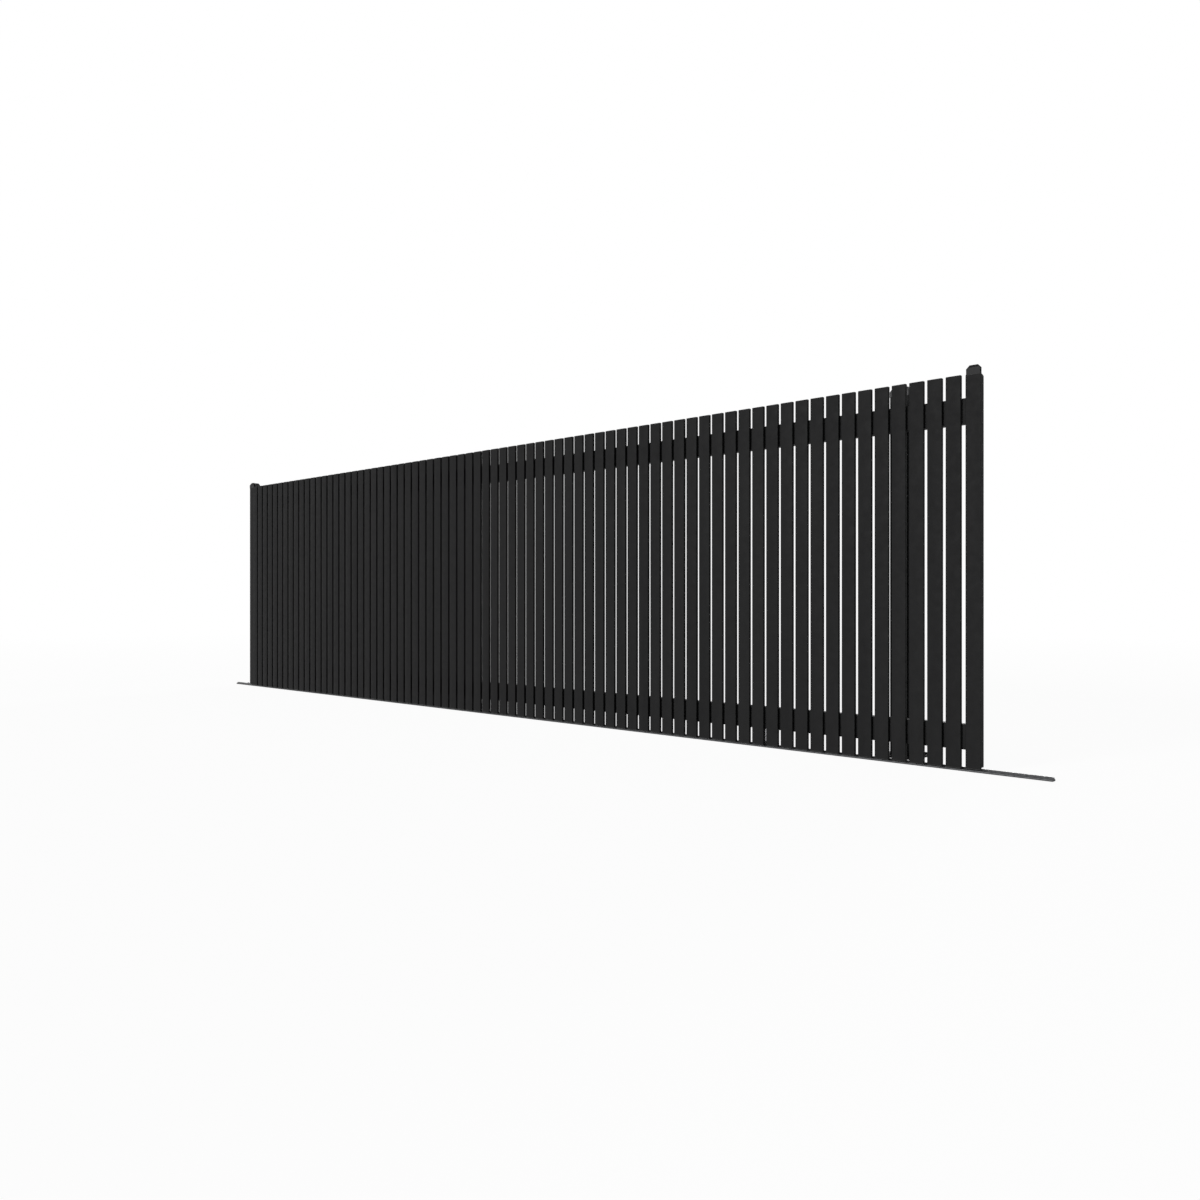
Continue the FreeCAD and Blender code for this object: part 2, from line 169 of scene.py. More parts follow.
def noise(tree, place, scale, detail=3.0, stretch=(1.0, 1.0, 1.0)):
    """Soft random spots, that many to the metre, drawn out along an axis by a small stretch."""
    mapping = tree.nodes.new("ShaderNodeMapping")
    mapping.inputs["Scale"].default_value = stretch
    tree.links.new(place, mapping.inputs["Vector"])
    spots = tree.nodes.new("ShaderNodeTexNoise")
    spots.inputs["Scale"].default_value = scale
    spots.inputs["Detail"].default_value = detail
    tree.links.new(mapping.outputs["Vector"], spots.inputs["Vector"])
    return spots.outputs["Fac"]


def tint(tree, factor, dark, light, low=0.3, high=0.7):
    """A colour that goes from dark to light as the factor goes from low to high."""
    ramp = tree.nodes.new("ShaderNodeValToRGB")
    ramp.color_ramp.elements[0].position = low
    ramp.color_ramp.elements[0].color = dark
    ramp.color_ramp.elements[1].position = high
    ramp.color_ramp.elements[1].color = light
    tree.links.new(factor, ramp.inputs["Fac"])
    return ramp.outputs["Color"]


def spread(tree, factor, least, most, low=0.3, high=0.7):
    """A number that goes from least to most as the factor goes from low to high."""
    span = tree.nodes.new("ShaderNodeMapRange")
    for socket, value in zip(("From Min", "From Max", "To Min", "To Max"), (low, high, least, most)):
        span.inputs[socket].default_value = value
    tree.links.new(factor, span.inputs["Value"])
    return span.outputs["Result"]


def relief(tree, shader, height, depth, strength=1.0, under=None):
    """Raise the surface by the height, depth metres at most, on top of a relief under it."""
    bump = tree.nodes.new("ShaderNodeBump")
    bump.inputs["Strength"].default_value = strength
    bump.inputs["Distance"].default_value = depth
    tree.links.new(height, bump.inputs["Height"])
    if under is not None:
        tree.links.new(under, bump.inputs["Normal"])
    tree.links.new(bump.outputs["Normal"], shader.inputs["Normal"])
    return bump.outputs["Normal"]


def galvanised_finish():
    """Grey zinc with its crystals, dull with age, coloured darker near the ground and lighter along the
    ridge's nose.
    """
    material, tree, shader, place = new_finish("galvanised_track")
    crystals = tree.nodes.new("ShaderNodeTexVoronoi")
    crystals.inputs["Scale"].default_value = SPANGLES_PER_METRE
    tree.links.new(place, crystals.inputs["Vector"])
    grey = tree.nodes.new("ShaderNodeSeparateColor")
    tree.links.new(crystals.outputs["Color"], grey.inputs["Color"])
    zinc = tint(tree, grey.outputs["Red"], GALVANISED_DARK, GALVANISED_LIGHT, 0.0, 1.0)
    height = tree.nodes.new("ShaderNodeSeparateXYZ")
    tree.links.new(place, height.inputs["Vector"])
    # The zinc is coloured darker near the ground and lighter along the nose of the ridge.
    darker_low = spread(tree, height.outputs["Z"], LOW_DARKENING_SHARE, 0.0, *LOW_DARKENING_FADE)
    lighter_nose = spread(tree, height.outputs["Z"], 0.0, NOSE_LIGHTENING_SHARE, *NOSE_LIGHTENING_FADE)
    colour = zinc
    for share, layer in ((darker_low, DARKER_LOW_ZINC), (lighter_nose, LIGHTER_NOSE_ZINC)):
        blend = tree.nodes.new("ShaderNodeMix")
        blend.data_type = "RGBA"
        blend.inputs["B"].default_value = layer
        tree.links.new(share, blend.inputs["Factor"])
        tree.links.new(colour, blend.inputs["A"])
        colour = blend.outputs["Result"]
    tree.links.new(colour, shader.inputs["Base Color"])
    shader.inputs["Metallic"].default_value = TRACK_METALLIC
    dirt = noise(tree, place, 18.0, 5.0)
    tree.links.new(spread(tree, dirt, *TRACK_ROUGHNESS), shader.inputs["Roughness"])
    relief(tree, shader, noise(tree, place, 420.0, 2.0), TRACK_GRAIN, 0.5)
    return material


galvanised = galvanised_finish()
low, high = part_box("track")
middle = (low.y + high.y) / 2
half = (high.y - low.y) / 2
section = [
    (middle - half, low.z), (middle + half, low.z), (middle + half, TRACK_BASE),
    (middle + TRACK_RIDGE_FOOT, TRACK_BASE), (middle + TRACK_NOSE, high.z),
    (middle - TRACK_NOSE, high.z), (middle - TRACK_RIDGE_FOOT, TRACK_BASE), (middle - half, TRACK_BASE),
]
mesh = bmesh.new()
prism(mesh, rounded(section, TRACK_EDGE), "x", low.x, high.x)
track = finish_piece("ground_track", mesh, "site", galvanised)
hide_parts("track")


# Gate posts
# Square steel tubes with tight corners, powder coated matt black like the leaf.
# The thick one holds the leaf upright, and the thin one stands beyond the end of the closed leaf.

TUBE_CORNER = 0.0015
BLACK_DEEP = (0.0088, 0.0088, 0.0090, 1.0)
BLACK_LIGHT = (0.0113, 0.0113, 0.0115, 1.0)
COAT_ROUGHNESS = (0.56, 0.68)
COAT_SHEEN = 0.06
COAT_WAVES = 0.00012
COAT_PEEL = 0.00006


def powder_coat(name, deep, light, stretch=(1.0, 1.0, 1.0)):
    """Matt powder coat: an even colour with a faint cloud in it and fine orange peel."""
    material, tree, shader, place = new_finish(name)
    cloud = noise(tree, place, 2.4, 4.0, stretch)
    tree.links.new(tint(tree, cloud, deep, light), shader.inputs["Base Color"])
    tree.links.new(spread(tree, noise(tree, place, 30.0), *COAT_ROUGHNESS), shader.inputs["Roughness"])
    shader.inputs["Specular IOR Level"].default_value = COAT_SHEEN
    broad = relief(tree, shader, noise(tree, place, 170.0, 1.0), COAT_WAVES, 0.35)
    relief(tree, shader, noise(tree, place, 900.0, 2.0), COAT_PEEL, 0.5, broad)
    return material


def rectangle(low_u, high_u, low_v, high_v):
    """The corners of a rectangle, anticlockwise."""
    return [(low_u, low_v), (high_u, low_v), (high_u, high_v), (low_u, high_v)]


post_coat = powder_coat("post_powder_coat", BLACK_DEEP, BLACK_LIGHT)
for post in ("guide", "catch"):
    low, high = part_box(f"{post}_post")
    mesh = bmesh.new()
    prism(mesh, rounded(rectangle(low.x, high.x, low.y, high.y), TUBE_CORNER, 5), "z", low.z, high.z)
    tube = finish_piece(f"{post}_post_tube", mesh, "site", post_coat)
    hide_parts(f"{post}_post")


# Base plates
# Square steel plates welded under the posts and coated with them.
# The weld runs round the foot of each tube as an even ripple.

PLATE_EDGE = 0.0008
PLATE_CORNER = 0.006
WELD_RADIUS = 0.004
WELD_RIPPLE = 0.0032
WELD_WAIST = 0.86
WELD_TIP = 0.4
WELD_INSET = 0.0009
WELD_CREASE = 60.0


def circle(radius, sides):
    """Points evenly spaced round a circle about the origin, anticlockwise."""
    angles = [2 * math.pi * side / sides for side in range(sides)]
    return [(radius * math.cos(angle), radius * math.sin(angle)) for angle in angles]


def bead(mesh, start, end, radius, sides=10):
    """Add a weld along a straight line: a rod that swells a little at each ripple."""
    start = Vector(start)
    end = Vector(end)
    along = (end - start).normalized()
    across = along.orthogonal().normalized()
    over = along.cross(across)
    steps = max(4, round((end - start).length / WELD_RIPPLE * 2))
    rings = []
    for step in range(steps + 1):
        share = step / steps
        size = radius * (1.0 if step % 2 else WELD_WAIST)
        if step in (0, steps):
            size = radius * WELD_TIP
        middle = start.lerp(end, share)
        arms = [size * (u * across + v * over) for u, v in circle(1.0, sides)]
        rings.append([mesh.verts.new(middle + arm) for arm in arms])
    skin(mesh, rings)


def bored_plate(mesh, outline, holes, hole_radius, low, high, sides=32):
    """Add a plate that lies flat, with round holes of one size through it."""
    rings = {}
    for level in (low, high):
        rings[level] = [[mesh.verts.new((u, v, level)) for u, v in outline]]
        for across, up in holes:
            hole = circle(hole_radius, sides)
            rings[level].append([mesh.verts.new((across + u, up + v, level)) for u, v in hole])
        edges = []
        for ring in rings[level]:
            for index, vert in enumerate(ring):
                edges.append(mesh.edges.new((vert, ring[(index + 1) % len(ring)])))
        bmesh.ops.triangle_fill(mesh, use_beauty=True, edges=edges)
    for below, above in zip(rings[low], rings[high]):
        for index in range(len(below)):
            following = (index + 1) % len(below)
            mesh.faces.new((below[index], below[following], above[following], above[index]))


ANCHOR_PLACES = {}
HOLE_RADIUS = {"guide": 0.007, "catch": 0.005}
HOLE_SPACING = {"guide": 0.150, "catch": 0.085}
for post in ("guide", "catch"):
    low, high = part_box(f"{post}_post_plate")
    middle = (low + high) / 2
    reach = HOLE_SPACING[post] / 2
    holes = [(middle.x + i * reach, middle.y + j * reach) for i in (-1, 1) for j in (-1, 1)]
    ANCHOR_PLACES[post] = holes
    mesh = bmesh.new()
    outline = rounded(rectangle(low.x, high.x, low.y, high.y), PLATE_CORNER, 4)
    bored_plate(mesh, outline, holes, HOLE_RADIUS[post], low.z, high.z)
    plate = finish_piece(f"{post}_base_plate", mesh, "site", post_coat, edge=PLATE_EDGE)
    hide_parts(f"{post}_post_plate")

    mesh = bmesh.new()
    foot_low, foot_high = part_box(f"{post}_post")
    left = foot_low.x + WELD_INSET
    right = foot_high.x - WELD_INSET
    front = foot_low.y + WELD_INSET
    back = foot_high.y - WELD_INSET
    for side in (foot_low.y, foot_high.y):
        bead(mesh, (left, side, high.z), (right, side, high.z), WELD_RADIUS)
    for side in (foot_low.x, foot_high.x):
        bead(mesh, (side, front, high.z), (side, back, high.z), WELD_RADIUS)
    finish_piece(f"{post}_foot_weld", mesh, "site", post_coat, crease=WELD_CREASE)


# Ground anchors
# Low hexagon-headed steel bolts driven into the footing through the base plate, each on a washer.
# All are coated black with the posts, and the guide post has thicker ones than the catch post.
# Only what stands above the ground is here.

ANCHOR_SHANK = {"guide": 0.006, "catch": 0.004}
ANCHOR_FLATS = {"guide": 0.0185, "catch": 0.013}
ANCHOR_HEAD = {"guide": 0.0075, "catch": 0.0053}
ANCHOR_FOOT = 0.001
WASHER_THICK = 0.002
WASHER_SHARE = 0.62
HEXAGON_DIP = 0.07
HEXAGON_FACE = 0.93


def lathe(mesh, profile, centre, axis="z", sides=32):
    """Add a turned solid: pairs of radius and height along an axis that runs through the centre."""
    turn = {
        "y": lambda a, b, h: (b, h, a),
        "z": lambda a, b, h: (a, b, h),
    }[axis]
    rings = []
    for radius, height in profile:
        points = circle(radius, sides) if radius else [(0, 0)]
        rings.append([mesh.verts.new(Vector(centre) + Vector(turn(a, b, height))) for a, b in points])
    pairs = list(zip(rings, rings[1:]))
    if profile[0][0] > 0 and profile[-1][0] > 0:
        pairs.append((rings[-1], rings[0]))
    for ring, following in pairs:
        for side in range(sides):
            other = (side + 1) % sides
            if len(ring) == 1:
                mesh.faces.new((ring[0], following[other], following[side]))
            elif len(following) == 1:
                mesh.faces.new((ring[side], ring[other], following[0]))
            else:
                mesh.faces.new((ring[side], ring[other], following[other], following[side]))


def washer(mesh, bore, rim, low, high, centre, axis="z", sides=32):
    """Add a flat ring with a hole of the bore's radius, from low to high along the axis."""
    lathe(mesh, [(bore, low), (rim, low), (rim, high), (bore, high)], centre, axis, sides)


def hexagon(mesh, flats, centre, low, high, axis="z"):
    """Add a nut or a bolt's head with its corners turned down at both faces."""
    radius = flats / math.sqrt(3)
    dip = flats * HEXAGON_DIP
    levels = [(low, HEXAGON_FACE), (low + dip, 1.0), (high - dip, 1.0), (high, HEXAGON_FACE)]
    place = {
        "y": lambda a, b, h: (centre[0] + b, h, centre[2] + a),
        "z": lambda a, b, h: (centre[0] + a, centre[1] + b, h),
    }[axis]
    rings = []
    for level, share in levels:
        rings.append([mesh.verts.new(place(a, b, level)) for a, b in circle(radius * share, 6)])
    skin(mesh, rings)


for post in ("guide", "catch"):
    plate_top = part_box(f"{post}_post_plate")[1].z
    shank = ANCHOR_SHANK[post]
    flats = ANCHOR_FLATS[post]
    head_low = plate_top + WASHER_THICK
    mesh = bmesh.new()
    for across, up in ANCHOR_PLACES[post]:
        centre = (across, up, 0.0)
        washer(mesh, shank, flats * WASHER_SHARE, plate_top, head_low, centre)
        hexagon(mesh, flats, centre, head_low, head_low + ANCHOR_HEAD[post])
        rod = [(0, ANCHOR_FOOT), (shank, ANCHOR_FOOT), (shank, head_low), (0, head_low)]
        lathe(mesh, rod, centre, sides=24)
    finish_piece(f"{post}_anchors", mesh, "site", post_coat)


# Post caps
# Moulded plastic caps pushed over the tubes: a short skirt, and four steep bevels up to a flat top.
# The mould leaves a soft grain on them, and their edges are a little rounded.

CAP_EDGE = 0.0012
CAP_BEVEL = 0.011
CAP_RISE = 0.018
CAP_CORNER = 0.007
CROWN_CORNER = 0.0042
CAP_DARK = (0.020, 0.020, 0.0205, 1.0)
CAP_LIGHT = (0.028, 0.028, 0.0288, 1.0)
PLASTIC_VARIES = 0.12
PLASTIC_SHEEN = 0.25
PLASTIC_GRAIN = 0.00008


def plastic_finish(name, dark, light, roughness):
    """Moulded plastic with a faint cloud in its colour and a fine grain from the mould."""
    material, tree, shader, place = new_finish(name)
    tree.links.new(tint(tree, noise(tree, place, 14.0), dark, light), shader.inputs["Base Color"])
    rough = spread(tree, noise(tree, place, 60.0), roughness, roughness + PLASTIC_VARIES)
    tree.links.new(rough, shader.inputs["Roughness"])
    shader.inputs["Specular IOR Level"].default_value = PLASTIC_SHEEN
    relief(tree, shader, noise(tree, place, 1100.0, 2.0), PLASTIC_GRAIN, 0.6)
    return material


cap_plastic = plastic_finish("cap_plastic", CAP_DARK, CAP_LIGHT, 0.45)
for post in ("guide", "catch"):
    low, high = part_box(f"{post}_post_cap")
    skirt = rounded(rectangle(low.x, high.x, low.y, high.y), CAP_CORNER, 5)
    inner = (low.x + CAP_BEVEL, high.x - CAP_BEVEL, low.y + CAP_BEVEL, high.y - CAP_BEVEL)
    crown = rounded(rectangle(*inner), CROWN_CORNER, 5)
    mesh = bmesh.new()
    loft(mesh, [(skirt, low.z), (skirt, high.z - CAP_RISE), (crown, high.z)])
    cap = finish_piece(f"{post}_cap", mesh, "site", cap_plastic, crease=35.0, edge=CAP_EDGE)
    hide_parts(f"{post}_post_cap")


# Guide bracket
# A flange, a tapered shelf and two gussets cut from plate, welded together and powder coated.
# Four black bolts hold the flange to the front of the guide post.

BRACKET_THICK = 0.008
BRACKET_NOSE = 0.028
BRACKET_FLANGE = 0.110
FLANGE_HALF = 0.045
GUSSET_PLACES = (-0.020, 0.020)
GUSSET_DEPTH = 0.055
GUSSET_TOE = 0.0036
BRACKET_CORNER = 0.004
BRACKET_EDGE = 0.0006
GUSSET_BEAD = 0.0032
SHELF_BEAD = 0.0028
BEAD_CLEAR = 0.004
BEAD_FOOT = 0.006
BRACKET_BOLTS = [(across, up) for across in (-0.036, 0.036) for up in (0.022, 0.085)]
BOLT_FLATS = 0.010
BOLT_HEAD = 0.0045
BOLT_WASHER_BORE = 0.0028
BOLT_WASHER_RIM = 0.0066
BOLT_WASHER_THICK = 0.0012

low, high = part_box("guide_bracket")
shelf_top = high.z
under_shelf = shelf_top - BRACKET_THICK
flange_front = high.y - BRACKET_THICK
flange_low = shelf_top - BRACKET_FLANGE
gusset_front = high.y - GUSSET_DEPTH
shelf = [
    (low.x, low.y), (high.x, low.y), (high.x, low.y + BRACKET_NOSE),
    (FLANGE_HALF, flange_front), (-FLANGE_HALF, flange_front), (low.x, low.y + BRACKET_NOSE),
]
mesh = bmesh.new()
prism(mesh, rounded(shelf, BRACKET_CORNER), "z", under_shelf, shelf_top)
flange = rounded(rectangle(-FLANGE_HALF, FLANGE_HALF, flange_low, shelf_top), BRACKET_CORNER)
prism(mesh, flange, "y", flange_front, high.y)
gusset = [
    (flange_front, flange_low), (flange_front, under_shelf), (gusset_front, under_shelf),
    (gusset_front, under_shelf - GUSSET_TOE), (flange_front - GUSSET_TOE, flange_low),
]
for across in GUSSET_PLACES:
    prism(mesh, gusset, "x", across - BRACKET_THICK / 2, across + BRACKET_THICK / 2)
bracket = finish_piece("bracket_plates", mesh, "site", post_coat, edge=BRACKET_EDGE)
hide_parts("guide_bracket")

mesh = bmesh.new()
for across in GUSSET_PLACES:
    for side in (-1, 1):
        edge = across + side * BRACKET_THICK / 2
        foot = (edge, flange_front, flange_low + BEAD_FOOT)
        top = (edge, flange_front, under_shelf - BEAD_CLEAR)
        bead(mesh, foot, top, GUSSET_BEAD)
        back = (edge, flange_front - BEAD_CLEAR, under_shelf)
        front = (edge, gusset_front, under_shelf)
        bead(mesh, back, front, GUSSET_BEAD)
weld_half = FLANGE_HALF - BEAD_CLEAR
bead(mesh, (-weld_half, flange_front, shelf_top), (weld_half, flange_front, shelf_top), SHELF_BEAD)
finish_piece("bracket_welds", mesh, "site", post_coat, crease=WELD_CREASE)

mesh = bmesh.new()
washer_front = flange_front - BOLT_WASHER_THICK
for across, up in BRACKET_BOLTS:
    centre = (across, 0.0, flange_low + up)
    washer(mesh, BOLT_WASHER_BORE, BOLT_WASHER_RIM, flange_front, washer_front, centre, "y", 24)
    hexagon(mesh, BOLT_FLATS, centre, washer_front - BOLT_HEAD, washer_front, "y")
finish_piece("bracket_bolts", mesh, "site", post_coat)


# Guide pins
# Zinc-plated bolts that stand in the shelf, each with a hexagon nut below it.
# A spacer carries the roller, and the bolt's round socket head keeps it down.

ZINC_DARK = (0.39, 0.39, 0.40, 1.0)
ZINC_LIGHT = (0.48, 0.48, 0.49, 1.0)
PIN_SHANK = 0.006
PIN_HEAD = 0.009
PIN_NUT_FLATS = 0.018
PIN_NUT_HIGH = 0.010
PIN_TIP = 0.0008
HEAD_EDGE = 0.001
SOCKET_MOUTH = 0.0035
SOCKET_FLOOR = 0.0030
SOCKET_DEPTH = 0.0018
SPACER_EDGE = 0.0005
ZINC_ROUGHNESS = (0.3, 0.48)
ZINC_GRAIN = 0.00003


def zinc_finish():
    """Bright zinc plate with a cloudy sheen."""
    material, tree, shader, place = new_finish("zinc_plate")
    cloud = noise(tree, place, 60.0, 4.0)
    tree.links.new(tint(tree, cloud, ZINC_DARK, ZINC_LIGHT), shader.inputs["Base Color"])
    tree.links.new(spread(tree, noise(tree, place, 150.0), *ZINC_ROUGHNESS), shader.inputs["Roughness"])
    shader.inputs["Metallic"].default_value = 1.0
    relief(tree, shader, noise(tree, place, 1500.0), ZINC_GRAIN, 0.4)
    return material


zinc = zinc_finish()
roller_low, roller_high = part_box("guide_roller_near")
for end in ("near", "far"):
    low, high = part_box(f"guide_pin_{end}")
    centre = ((low.x + high.x) / 2, (low.y + high.y) / 2, 0.0)
    mesh = bmesh.new()
    hexagon(mesh, PIN_NUT_FLATS, centre, under_shelf - PIN_NUT_HIGH, under_shelf)
    spacer = [
        (PIN_SHANK, shelf_top), (PIN_HEAD - SPACER_EDGE, shelf_top), (PIN_HEAD, shelf_top + SPACER_EDGE),
        (PIN_HEAD, roller_low.z - SPACER_EDGE), (PIN_HEAD - SPACER_EDGE, roller_low.z),
        (PIN_SHANK, roller_low.z),
    ]
    lathe(mesh, spacer, centre)
    socket_floor = high.z - SOCKET_DEPTH
    head = [
        (0, roller_high.z), (PIN_HEAD, roller_high.z), (PIN_HEAD, high.z - HEAD_EDGE),
        (PIN_HEAD - HEAD_EDGE, high.z), (SOCKET_MOUTH, high.z), (SOCKET_FLOOR, socket_floor),
        (0, socket_floor),
    ]
    lathe(mesh, head, centre)
    shank = [
        (0, low.z), (PIN_SHANK - PIN_TIP, low.z), (PIN_SHANK, low.z + PIN_TIP),
        (PIN_SHANK, roller_high.z), (0, roller_high.z),
    ]
    lathe(mesh, shank, centre)
    pin = finish_piece(f"roller_pin_{end}", mesh, "site", zinc)
    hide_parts(f"guide_pin_{end}")


# Guide rollers
# Turned nylon rollers, off-white, that run inside the guide channel on their pins.
# Their edges are rounded so that they don't catch on the channel's walls.

NYLON_DARK = (0.50, 0.485, 0.44, 1.0)
NYLON_LIGHT = (0.62, 0.605, 0.56, 1.0)
ROLLER_RADIUS = 0.013
ROLLER_BORE = 0.00605
ROLLER_ROUND = 0.0014
ROLLER_LIP = 0.00042

nylon = plastic_finish("roller_nylon", NYLON_DARK, NYLON_LIGHT, 0.4)
for end in ("near", "far"):
    low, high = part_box(f"guide_roller_{end}")
    centre = ((low.x + high.x) / 2, (low.y + high.y) / 2, 0.0)
    flat = ROLLER_RADIUS - ROLLER_ROUND
    shoulder = ROLLER_RADIUS - ROLLER_LIP
    profile = [
        (ROLLER_BORE, low.z), (flat, low.z), (shoulder, low.z + ROLLER_LIP),
        (ROLLER_RADIUS, low.z + ROLLER_ROUND), (ROLLER_RADIUS, high.z - ROLLER_ROUND),
        (shoulder, high.z - ROLLER_LIP), (flat, high.z), (ROLLER_BORE, high.z),
    ]
    mesh = bmesh.new()
    lathe(mesh, profile, centre, sides=48)
    roller = finish_piece(f"nylon_roller_{end}", mesh, "site", nylon)
    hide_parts(f"guide_roller_{end}")


# Rails of the leaf
# Two rectangular aluminium tubes that run the whole length between the stiles.
# They are welded to the stiles at both ends, powder coated matt black with the whole leaf.

RAIL_HEIGHT = 0.115
RAIL_DROP = 0.105
RAIL_LIFT = 0.085
RAIL_CORNER = 0.0012
RAIL_BEAD = 0.0022
RAIL_BEAD_SIDES = 0.003
RAIL_BEAD_ENDS = 0.004
SLAT_DEPTH = 0.016
LEAF_COAT_STRETCH = (6.0, 1.0, 0.35)

leaf_coat = powder_coat("leaf_powder_coat", BLACK_DEEP, BLACK_LIGHT, LEAF_COAT_STRETCH)
panel_low, panel_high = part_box("leaf_panel")
frame_front = panel_low.y + SLAT_DEPTH
frame_back = panel_high.y
stile_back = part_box("stile_near")[1].y
rail_lows = (panel_low.z + RAIL_LIFT, panel_high.z - RAIL_DROP - RAIL_HEIGHT)
mesh = bmesh.new()
for rail_low in rail_lows:
    outline = rounded(rectangle(frame_front, frame_back, rail_low, rail_low + RAIL_HEIGHT), RAIL_CORNER)
    prism(mesh, outline, "x", panel_low.x, panel_high.x)
finish_piece("leaf_rails", mesh, "leaf", leaf_coat)

mesh = bmesh.new()
for rail_low in rail_lows:
    top = rail_low + RAIL_HEIGHT
    front = frame_front + RAIL_BEAD_SIDES
    back = stile_back - RAIL_BEAD_SIDES
    for joint in (panel_low.x, panel_high.x):
        weld_foot = (joint, stile_back, rail_low + RAIL_BEAD_ENDS)
        weld_top = (joint, stile_back, top - RAIL_BEAD_ENDS)
        bead(mesh, weld_foot, weld_top, RAIL_BEAD)
        for level in (top, rail_low):
            bead(mesh, (joint, front, level), (joint, back, level), RAIL_BEAD)
finish_piece("rail_welds", mesh, "leaf", leaf_coat, crease=WELD_CREASE)


# Slats
# Flat closed aluminium extrusions, 71 by 16 mm, that stand side by side on the front of the rails.
# Their long edges are slightly rounded, and a plastic plug closes each open end.

SLAT_COUNT = 74
SLAT_WIDTH = 0.071
SLAT_PITCH = 0.090
FIRST_SLAT = 0.016
SLAT_CORNER = 0.0005
PLUG_THICK = 0.0025
PLUG_INSET = 0.0006
PLUG_ROUND = 0.001

slat_lefts = [panel_low.x + FIRST_SLAT + SLAT_PITCH * index for index in range(SLAT_COUNT)]
mesh = bmesh.new()
for left in slat_lefts:
    outline = rounded(rectangle(left, left + SLAT_WIDTH, panel_low.y, frame_front), SLAT_CORNER)
    prism(mesh, outline, "z", panel_low.z + PLUG_THICK, panel_high.z - PLUG_THICK)
slats = finish_piece("slats", mesh, "leaf", leaf_coat)
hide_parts("leaf_panel")

plug_plastic = plastic_finish("plug_plastic", BLACK_DEEP, BLACK_LIGHT, 0.5)
mesh = bmesh.new()
foot = panel_low.z
top = panel_high.z
front = panel_low.y + PLUG_INSET
back = frame_front - PLUG_INSET
for slat_left in slat_lefts:
    left = slat_left + PLUG_INSET
    right = slat_left + SLAT_WIDTH - PLUG_INSET
    outline = rounded(rectangle(left, right, front, back), SLAT_CORNER)
    inner = (left + PLUG_ROUND, right - PLUG_ROUND, front + PLUG_ROUND, back - PLUG_ROUND)
    dome = rounded(rectangle(*inner), SLAT_CORNER)
    loft(mesh, [(dome, foot), (outline, foot + PLUG_ROUND), (outline, foot + PLUG_THICK)])
    loft(mesh, [(outline, top - PLUG_THICK), (outline, top - PLUG_ROUND), (dome, top)])
finish_piece("slat_plugs", mesh, "leaf", plug_plastic)


# Slat screws
# Black pan-head screws that fix each slat from behind, through the back of both rails.
# Each has a small recess in its head for the driver.

SCREW_HEAD = 0.0042
SCREW_RISE = 0.0022
SCREW_SHAPE = ((0.0, 0.0), (1.0, 0.0), (0.92, 0.55), (0.6, 1.0), (0.3, 1.0), (0.0, 0.4))
SCREW_HEIGHTS = (0.022, 0.044)
SCREW_SIDES = 12

head = [(SCREW_HEAD * across, SCREW_RISE * up) for across, up in SCREW_SHAPE]
mesh = bmesh.new()
for left in slat_lefts:
    middle = left + SLAT_WIDTH / 2
    for rail_low in rail_lows:
        for height in SCREW_HEIGHTS:
            lathe(mesh, head, (middle, frame_back, rail_low + height), "y", SCREW_SIDES)
finish_piece("slat_screws", mesh, "leaf", leaf_coat, crease=40.0)


# Stiles
# Upright aluminium tubes that close both ends of the leaf, their fronts level with the slats' backs.
# Plugs close them, the top slopes back to shed rain, and the foot clears the track behind a lip.

STILE_CORNER = 0.0012
STILE_PLUG = 0.003
STILE_PLUG_INSET = 0.0005
STILE_PLUG_EDGE = 0.0006
STILE_FALL = 0.009
STILE_LIP = 0.004
STOP_THICK = 0.010

stile_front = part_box("stile_near")[0].y


def stile_top(front, back, height):
    """The top line of a stile from the back to the front."""
    return [(back, height - STILE_FALL), (stile_front + STOP_THICK, height), (front, height)]


def stile_foot(front, back, height):
    """The foot line of a stile from the front to the back."""
    lip_back = stile_front + STILE_LIP
    raised = height + STILE_FALL
    return [(front, height), (lip_back, height), (lip_back + STILE_FALL, raised), (back, raised)]


for end in ("near", "far"):
    low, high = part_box(f"stile_{end}")
    foot = stile_foot(low.y, high.y, low.z + STILE_PLUG)
    top = stile_top(low.y, high.y, high.z - STILE_PLUG)
    mesh = bmesh.new()
    prism(mesh, foot + top, "x", low.x, high.x)
    stile = finish_piece(f"stile_tube_{end}", mesh, "leaf", leaf_coat, edge=STILE_CORNER)
    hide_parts(f"stile_{end}")

    sides = (low.y + STILE_PLUG_INSET, high.y - STILE_PLUG_INSET)
    foot_plug = stile_foot(*sides, low.z) + stile_foot(*sides, low.z + STILE_PLUG)[::-1]
    top_plug = stile_top(*sides, high.z) + stile_top(*sides, high.z - STILE_PLUG)[::-1]
    mesh = bmesh.new()
    for outline in (foot_plug, top_plug):
        prism(mesh, outline, "x", low.x + STILE_PLUG_INSET, high.x - STILE_PLUG_INSET)
    finish_piece(f"stile_plugs_{end}", mesh, "leaf", plug_plastic, edge=STILE_PLUG_EDGE)


# Stop plates
# Steel plates with cut corners, welded upright on the tops of both stiles.
# Only their fronts are painted satin grey, and their bevelled edges carry the black coat of the leaf as
# painted shade.

STOP_CORNER = 0.016
STOP_BEVEL = 0.007
STOP_SIDE_BEVEL = 0.003
STOP_TOP_BEVEL = 0.012
FRONT_CORNER = 0.006
# Faces turned less squarely forward than this take the black coat as painted shade.
SHADED_BEVEL_FACING = -0.99
STOP_EDGE = 0.0004
STOP_BEAD = 0.003
STOP_BEAD_ENDS = 0.004
PLATE_DARK = (0.0250, 0.0250, 0.0254, 1.0)
PLATE_LIGHT = (0.0310, 0.0310, 0.0315, 1.0)


def cut_plate(left, right, low, high, cut):
    """The outline of an upright plate whose two top corners are cut off."""
    return [
        (left, low), (right, low), (right, high - cut), (right - cut, high),
        (left + cut, high), (left, high - cut),
    ]


